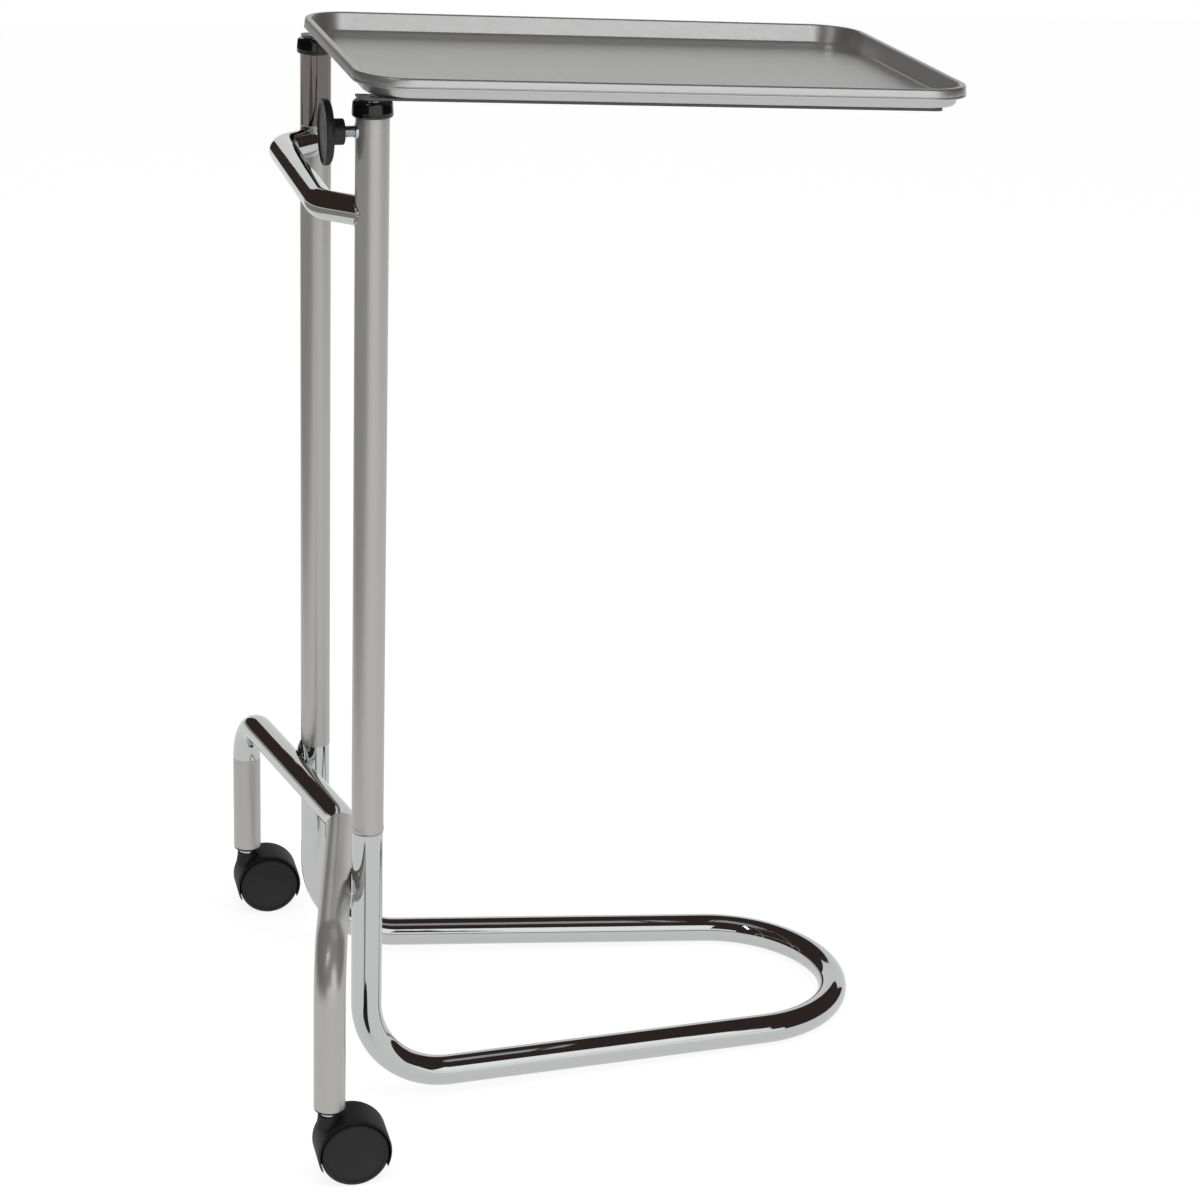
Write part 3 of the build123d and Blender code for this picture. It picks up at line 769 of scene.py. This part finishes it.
class MAYO_OT_castors(bpy.types.Operator):
    """Moulds the twin wheel castors: socket, hood and wheels"""
    bl_idname = "mayo.castors"
    bl_label = "Castors"

    def execute(self, context):
        for name, side in SIDES:
            stem = Vector((LEG_X, side * LEG_Y, 0))
            hub = stem + Vector((HUB_TRAIL, 0, HUB_Z))
            self.socket(name, stem)
            self.hood(name, stem, hub)
            for way, sign in (("left", -1), ("right", 1)):
                self.wheel(name, way, sign, hub)
        return {"FINISHED"}

    def socket(self, name, stem):
        profile = [
            (0.0056, 0.0670), (0.0115, 0.0670), (0.0135, 0.0682), (0.0135, 0.0700), (0.0111, 0.0700),
            (0.0111, 0.0760), (0.0056, 0.0760), (0.0056, 0.0670),
        ]
        bm = lathe(profile, {1: 0.0008, 2: 0.0008, 3: 0.0004}, 96, "Z", stem)
        obj = piece("castor_socket_%s_moulded" % name, bm, "stand", 40.0)
        coat(obj, "castor")
        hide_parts("castor_socket_" + name)

    def hood(self, name, stem, hub):
        half, outer, inner = 0.0206, 0.0326, 0.0310
        drop = math.radians(25.0)
        sweep = math.pi + 2 * drop
        shell = [
            (inner, -half + 0.0004), (inner + 0.0004, -half), (outer - 0.0012, -half), (outer, -half + 0.003),
            (outer, half - 0.003), (outer - 0.0012, half), (inner + 0.0004, half), (inner, half - 0.0004),
            (inner, -half + 0.0004),
        ]
        web = [(0.0, -0.007), (inner + 0.0006, -0.007), (inner + 0.0006, 0.007), (0.0, 0.007)]
        whole = bmesh.new()
        for profile, rounds in ((shell, {3: 0.004, 4: 0.004}), (web, {})):
            bm = bmesh.new()
            wire(bm, [Vector((r, h, 0)) for r, h in profile], rounds)
            bmesh.ops.rotate(bm, cent=(0, 0, 0), matrix=Matrix.Rotation(drop, 3, "Y"), verts=bm.verts)
            bmesh.ops.spin(
                bm, geom=bm.verts[:] + bm.edges[:], cent=(0, 0, 0), axis=(0, -1, 0), angle=sweep, steps=80
            )
            bmesh.ops.remove_doubles(bm, verts=bm.verts, dist=1e-6)
            cap_ends(bm)
            bmesh.ops.recalc_face_normals(bm, faces=bm.faces)
            bmesh.ops.translate(bm, vec=hub, verts=bm.verts)
            join_into(whole, bm)
        neck = lathe(
            [(0.0, 0.050), (0.0118, 0.050), (0.0104, 0.0590), (0.0100, 0.0640), (0.0, 0.0640)],
            {2: 0.006, 3: 0.0010}, 72, "Z", stem,
        )
        join_into(whole, neck)
        obj = piece("castor_hood_%s_moulded" % name, whole, "castor_" + name, 40.0)
        coat(obj, "castor")
        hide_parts("castor_hood_" + name)

    def wheel(self, name, way, sign, hub):
        profile = [
            (0.0, 0.0182), (0.0031, 0.0182), (0.0031, 0.0074), (0.0066, 0.0074), (0.0075, 0.0114),
            (0.0225, 0.0114), (0.0236, 0.0074),
            (0.0300, 0.0074), (0.0300, 0.0190), (0.0272, 0.0204), (0.0262, 0.0204), (0.0252, 0.0196),
            (0.0236, 0.0198), (0.0120, 0.0216), (0.0, 0.0220),
        ]
        rounds = {7: 0.0012, 8: 0.0028, 9: 0.0004, 10: 0.0003, 11: 0.0004, 12: 0.0006, 13: 0.04}
        bm = lathe(profile, rounds, 128, "+Y" if sign > 0 else "-Y", hub)
        obj = piece("castor_wheel_%s_%s_moulded" % (name, way), bm, "wheel_%s_%s" % (name, way), 40.0)
        coat(obj, "castor")
        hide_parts("castor_wheel_%s_%s" % (name, way))


class MAYO_OT_frame_pieces(bpy.types.Operator):
    """Gives the carried over CAD pieces their finishes"""
    bl_idname = "mayo.frame_pieces"
    bl_label = "Hidden pieces"

    def execute(self, context):
        # The tray frame's grey stands in for the shade under the tray: painted shade.
        finishes = {
            "tray_frame": "frame_shade_grey", "rest_pads": "rubber", "clamp_boss": "zinc", "clamp_shoe": "brass",
        }
        for name, side in SIDES:
            finishes["guide_bush_" + name] = "bush"
            finishes["tube_glide_" + name] = "bush"
            finishes["tube_plug_" + name] = "zinc"
            finishes["castor_stem_" + name] = "zinc"
            finishes["castor_axle_" + name] = "zinc"
        for name, key in finishes.items():
            coat(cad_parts[name], key)
        self.pads()
        return {"FINISHED"}

    def pads(self):
        """Four rubber buttons: a stem through the frame's bar, and a thin head on it."""
        foot, bar_top, crown, stem_r, head_r = 0.0003, 0.0020, 0.0023, 0.0039, 0.0070
        profile = [
            (0.0, foot), (stem_r, foot), (stem_r, bar_top), (head_r, bar_top), (head_r, crown), (0.0, crown)
        ]
        pads = bmesh.new()
        for x in (0.060, 0.480):
            for _, side in SIDES:
                join_into(pads, lathe(profile, {4: 0.0002}, 48, "Z", (x, side * POST_Y, 0)))
        place = Matrix.Translation(drooped(0, 0, 0)) @ TRAY_TURN
        bmesh.ops.transform(pads, matrix=place, verts=pads.verts)
        obj = piece("rest_pad_buttons", pads, "lift", 40.0)
        coat(obj, "rubber")
        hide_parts("rest_pads")


# Studio

def facing(at, look):
    """Stands a card or a lamp at a place, facing another."""
    turn = (Vector(look) - Vector(at)).to_track_quat("-Z", "Y").to_matrix().to_4x4()
    return Matrix.Translation(at) @ turn


def plane_card(name, size, at, look, colour_value, strength):
    """A studio card that only reflections see."""
    bm = bmesh.new()
    bmesh.ops.create_grid(bm, x_segments=1, y_segments=1, size=0.5)
    bmesh.ops.scale(bm, vec=(size[0], size[1], 1), verts=bm.verts)
    bmesh.ops.transform(bm, matrix=facing(at, look), verts=bm.verts)
    return card_from(name, bm, colour_value, strength)


def card_from(name, bm, colour_value, strength):
    mesh = bpy.data.meshes.new(name)
    bm.to_mesh(mesh)
    bm.free()
    obj = bpy.data.objects.new(name, mesh)
    bpy.context.scene.collection.objects.link(obj)
    made, tree = new_material(name + "_paint")
    glow = node(tree, "ShaderNodeEmission", {"Color": colour_value, "Strength": strength})
    node(tree, "ShaderNodeOutputMaterial", links={"Surface": glow.outputs["Emission"]})
    mesh.materials.append(made)
    obj.visible_camera = False
    obj.visible_diffuse = False
    obj.visible_shadow = False
    obj.visible_transmission = False
    return obj


def room_card(name, colour_value, strength):
    """The dark room beyond the studio's white paper, which only reflections see."""
    bm = bmesh.new()
    bmesh.ops.create_uvsphere(bm, u_segments=48, v_segments=24, radius=9.0)
    bmesh.ops.reverse_faces(bm, faces=bm.faces)
    return card_from(name, bm, colour_value, strength)


def lamp(name, size, at, look, power, glossy=True):
    data = bpy.data.lights.new(name, "AREA")
    data.shape = "RECTANGLE"
    data.size, data.size_y = size
    data.energy = power
    obj = bpy.data.objects.new(name, data)
    obj.matrix_world = facing(at, look)
    obj.visible_camera = False
    obj.visible_glossy = glossy
    bpy.context.scene.collection.objects.link(obj)
    return obj


class MAYO_OT_stage(bpy.types.Operator):
    """Sets the floor, the world, the lamps, the studio cards and the camera"""
    bl_idname = "mayo.stage"
    bl_label = "Studio"

    def execute(self, context):
        self.world()
        self.floor()
        self.lights()
        self.camera()
        context.scene.view_settings.view_transform = "Standard"
        return {"FINISHED"}

    def seen(self, tree):
        """1 where the camera, a mirror or clear plastic looks straight at a surface."""
        path = node(tree, "ShaderNodeLightPath")
        both = node(
            tree, "ShaderNodeMath", links={0: path.outputs["Is Camera Ray"], 1: path.outputs["Is Glossy Ray"]},
            operation="MAXIMUM",
        )
        return node(
            tree, "ShaderNodeMath", links={0: both.outputs[0], 1: path.outputs["Is Transmission Ray"]},
            operation="MAXIMUM",
        ).outputs[0]

    def world(self):
        world = bpy.data.worlds.new("studio_air")
        bpy.context.scene.world = world
        world.use_nodes = True
        tree = world.node_tree
        tree.nodes.clear()
        strength = node(
            tree, "ShaderNodeMapRange", {"To Min": 0.55, "To Max": 1.0}, {"Value": self.seen(tree)}
        )
        back = node(tree, "ShaderNodeBackground", {"Color": WHITE}, {"Strength": strength.outputs[0]})
        node(tree, "ShaderNodeOutputWorld", links={"Surface": back.outputs["Background"]})

    def floor(self):
        bm = bmesh.new()
        bmesh.ops.create_grid(bm, x_segments=1, y_segments=1, size=6.0)
        bmesh.ops.translate(bm, vec=(0, 0, -0.0003), verts=bm.verts)
        mesh = bpy.data.meshes.new("studio_floor")
        bm.to_mesh(mesh)
        bm.free()
        obj = bpy.data.objects.new("studio_floor", mesh)
        bpy.context.scene.collection.objects.link(obj)
        made, tree = new_material("white_studio_floor")
        matt = node(tree, "ShaderNodeBsdfDiffuse", {"Color": from_hex("#8c8c8c")})
        path = node(tree, "ShaderNodeLightPath")
        level = node(
            tree, "ShaderNodeMapRange", {"To Min": 0.66, "To Max": 0.84},
            {"Value": path.outputs["Is Camera Ray"]},
        )
        strength = node(
            tree, "ShaderNodeMath", links={0: self.seen(tree), 1: level.outputs[0]}, operation="MULTIPLY"
        )
        glow = node(tree, "ShaderNodeEmission", {"Color": WHITE}, {"Strength": strength.outputs[0]})
        both = node(tree, "ShaderNodeAddShader", links={0: matt.outputs[0], 1: glow.outputs[0]})
        node(tree, "ShaderNodeOutputMaterial", links={"Surface": both.outputs[0]})
        mesh.materials.append(made)

    def lights(self):
        middle = (POST_X + 0.2, 0.0, 0.5)
        lamp("soft_overhead", (1.8, 1.4), (0.2, -0.9, 2.7), middle, 18.0, False)
        lamp("soft_left", (0.5, 1.6), (-2.2, -1.8, 1.7), middle, 10.0, False)
        lamp("soft_right", (0.6, 1.6), (2.2, -1.9, 1.8), middle, 10.0, False)
        lamp("strip_top", (0.10, 1.0), (POST_X - 0.9, -1.1, 2.3), middle, 3.0)
        left = POST_X - 2.45
        room_card("dark_room", from_hex("#3a302d"), 1.0)
        for name, size, at, look, paint, strength in (
            ("dark_left_floor", (3.0, 8.0), (left, 0.0, 0.0006), (left, 0.0, -1.0), from_hex("#96928f"), 1.0),
            ("white_screen", (9.2, 2.9), (3.5, 5.0, 1.46), (3.5, 0.0, 1.46), WHITE, 0.84),
            ("front_sweep", (9.0, 1.6), (1.0, -5.9, 0.80), (1.0, 0.0, 0.80), WHITE, 1.1),
            ("front_softbox", (2.6, 2.3), (1.2, -3.9, 2.25), (0.1, 0.0, 0.95), WHITE, 1.25),
        ):
            plane_card(name, size, at, look, paint, strength)

    def camera(self):
        yaw, pitch, roll = 0.255, 0.349, 0.036
        focal_pixels, picture_pixels = 2921.95, 1200.0
        place = Vector((-0.40345 + POST_X, -2.48775, 1.35841))
        forward = Vector((math.sin(yaw) * math.cos(pitch), math.cos(yaw) * math.cos(pitch), -math.sin(pitch)))
        flat = Vector((math.cos(yaw), -math.sin(yaw), 0))
        under = forward.cross(flat)
        right = flat * math.cos(roll) - under * math.sin(roll)
        down = under * math.cos(roll) + flat * math.sin(roll)
        data = bpy.data.cameras.new("studio_camera")
        data.sensor_width = 36.0
        data.lens = focal_pixels / picture_pixels * data.sensor_width
        data.clip_end = 50.0
        obj = bpy.data.objects.new("studio_camera", data)
        turn = Matrix((right, -down, -forward)).transposed().to_4x4()
        obj.matrix_world = Matrix.Translation(place) @ turn
        bpy.context.scene.collection.objects.link(obj)
        bpy.context.scene.camera = obj


class MAYO_PT_panel(bpy.types.Panel):
    """Lists the steps that dress the stand"""
    bl_idname = "MAYO_PT_panel"
    bl_label = "Mayo stand"
    bl_space_type = "VIEW_3D"
    bl_region_type = "UI"
    bl_category = "Mayo stand"

    def draw(self, context):
        for group in (context.scene.mayo_tubes, context.scene.mayo_tray, context.scene.mayo_plastic):
            for name in group.bl_rna.properties.keys():
                if name not in ("rna_type", "name"):
                    self.layout.prop(group, name)
        for step in STEPS:
            self.layout.operator(step.bl_idname)


STEPS = (
    MAYO_OT_stage, MAYO_OT_bent_tubes, MAYO_OT_welds, MAYO_OT_posts, MAYO_OT_caps, MAYO_OT_tray,
    MAYO_OT_clamp, MAYO_OT_castors, MAYO_OT_frame_pieces,
)
GROUPS = (
    (MayoTubeSettings, "mayo_tubes"), (MayoTraySettings, "mayo_tray"), (MayoPlasticSettings, "mayo_plastic")
)


def register():
    for group, name in GROUPS:
        bpy.utils.register_class(group)
        setattr(bpy.types.Scene, name, PointerProperty(type=group))
    for step in STEPS + (MAYO_PT_panel,):
        bpy.utils.register_class(step)


def unregister():
    for step in (MAYO_PT_panel,) + tuple(reversed(STEPS)):
        bpy.utils.unregister_class(step)
    for group, name in reversed(GROUPS):
        delattr(bpy.types.Scene, name)
        bpy.utils.unregister_class(group)


def main():
    register()
    for step in STEPS:
        word = step.bl_idname.split(".")[1]
        getattr(bpy.ops.mayo, word)()


if __name__ == "__main__":
    main()
